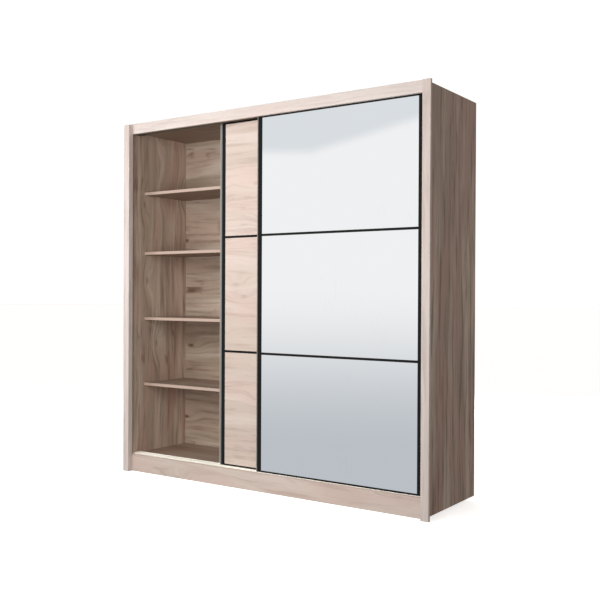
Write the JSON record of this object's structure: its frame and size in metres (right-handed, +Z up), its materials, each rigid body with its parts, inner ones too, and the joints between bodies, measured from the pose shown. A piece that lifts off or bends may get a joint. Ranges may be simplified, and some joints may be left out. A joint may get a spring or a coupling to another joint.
{
  "type": "sliding door wardrobe",
  "caption": "Free-standing wardrobe with a projecting front frame, open shelf bay, hanging bay, and mirror and wood-panel doors that roll past each other on a double track.",
  "frame": {"origin": "on the floor, at the middle of the width and of the depth", "axes": "+X to the right as seen from the front, front faces -Y, +Z up"},
  "size_m": [2.06, 0.565, 2.145],
  "materials": {
    "carcass_laminate": "grey oak decor laminate, matt, fine grain",
    "frame_laminate": "grey oak decor laminate, matt, seen in bright light",
    "door_laminate": "grey oak decor laminate with knots, grain across the door",
    "back_board": "printed thin fibreboard, matt",
    "black_profile": "black satin aluminium profile",
    "mirror": "silvered glass",
    "bronze_profile": "bronze anodised aluminium track",
    "pale_track": "cream coated aluminium",
    "black_plastic": "moulded black plastic",
    "steel": "zinc plated steel"
  },
  "bodies": {
    "carcass": {"left_side_panel": "carcass_laminate", "right_side_panel": "carcass_laminate", "top_panel": "carcass_laminate", "bottom_panel": "carcass_laminate", "centre_partition": "carcass_laminate", "back_sheet_left": "back_board", "back_sheet_right": "back_board", "top_rail": "frame_laminate", "bottom_rail": "frame_laminate", "left_post": "frame_laminate", "right_post": "frame_laminate", "rear_plinth": "carcass_laminate", "support_legs": "black_plastic", "shelf_1": "carcass_laminate", "shelf_2": "carcass_laminate", "shelf_3": "carcass_laminate", "shelf_4": "carcass_laminate", "hat_shelf": "carcass_laminate", "shelf_pins": "steel", "hanging_rail": "steel", "rail_sockets": "steel", "cam_locks": "steel", "cam_bolts": "steel", "back_nails": "steel", "top_track": "bronze_profile", "bottom_track": "pale_track", "track_screws": "steel", "track_stops": "black_plastic"},
    "mirror_door": {"mirror_left_stile": "black_profile", "mirror_right_stile": "black_profile", "mirror_top_profile": "black_profile", "mirror_bottom_profile": "black_profile", "mirror_upper_divider": "black_profile", "mirror_lower_divider": "black_profile", "mirror_top_pane": "mirror", "mirror_middle_pane": "mirror", "mirror_bottom_pane": "mirror", "mirror_top_backing": "back_board", "mirror_middle_backing": "back_board", "mirror_bottom_backing": "back_board", "mirror_brackets": "steel", "mirror_axles": "steel", "mirror_top_guides": "black_plastic"},
    "panel_door": {"panel_left_stile": "black_profile", "panel_right_stile": "black_profile", "panel_top_profile": "black_profile", "panel_bottom_profile": "black_profile", "panel_upper_divider": "black_profile", "panel_lower_divider": "black_profile", "panel_top_board": "door_laminate", "panel_middle_board": "door_laminate", "panel_bottom_board": "door_laminate", "panel_brackets": "steel", "panel_axles": "steel", "panel_top_guides": "black_plastic"},
    "mirror_left_wheel_body": {"mirror_left_wheel": "black_plastic"},
    "mirror_right_wheel_body": {"mirror_right_wheel": "black_plastic"},
    "panel_left_wheel_body": {"panel_left_wheel": "black_plastic"},
    "panel_right_wheel_body": {"panel_right_wheel": "black_plastic"}
  },
  "joints": [
    {"name": "mirror_door_slide", "type": "slide", "parent": "carcass", "child": "mirror_door", "axis": [1, 0, 0], "range_m": [-0.949, 0.018]},
    {"name": "panel_door_slide", "type": "slide", "parent": "carcass", "child": "panel_door", "axis": [1, 0, 0], "range_m": [-0.66, 0.307]},
    {"name": "mirror_left_wheel_spin", "type": "hinge", "parent": "mirror_door", "child": "mirror_left_wheel_body", "pos_m": [0.047, -0.208, 0.1123], "axis": [0, 1, 0], "continuous": true},
    {"name": "mirror_right_wheel_spin", "type": "hinge", "parent": "mirror_door", "child": "mirror_right_wheel_body", "pos_m": [0.884, -0.208, 0.1123], "axis": [0, 1, 0], "continuous": true},
    {"name": "panel_left_wheel_spin", "type": "hinge", "parent": "panel_door", "child": "panel_left_wheel_body", "pos_m": [-0.242, -0.171, 0.1123], "axis": [0, 1, 0], "continuous": true},
    {"name": "panel_right_wheel_spin", "type": "hinge", "parent": "panel_door", "child": "panel_right_wheel_body", "pos_m": [0.595, -0.171, 0.1123], "axis": [0, 1, 0], "continuous": true}
  ],
  "couplings": [
    {"joint": "mirror_left_wheel_spin", "follows": "mirror_door_slide", "rad_per_m": 83.333},
    {"joint": "mirror_right_wheel_spin", "follows": "mirror_door_slide", "rad_per_m": 83.333},
    {"joint": "panel_left_wheel_spin", "follows": "panel_door_slide", "rad_per_m": 83.333},
    {"joint": "panel_right_wheel_spin", "follows": "panel_door_slide", "rad_per_m": 83.333}
  ]
}
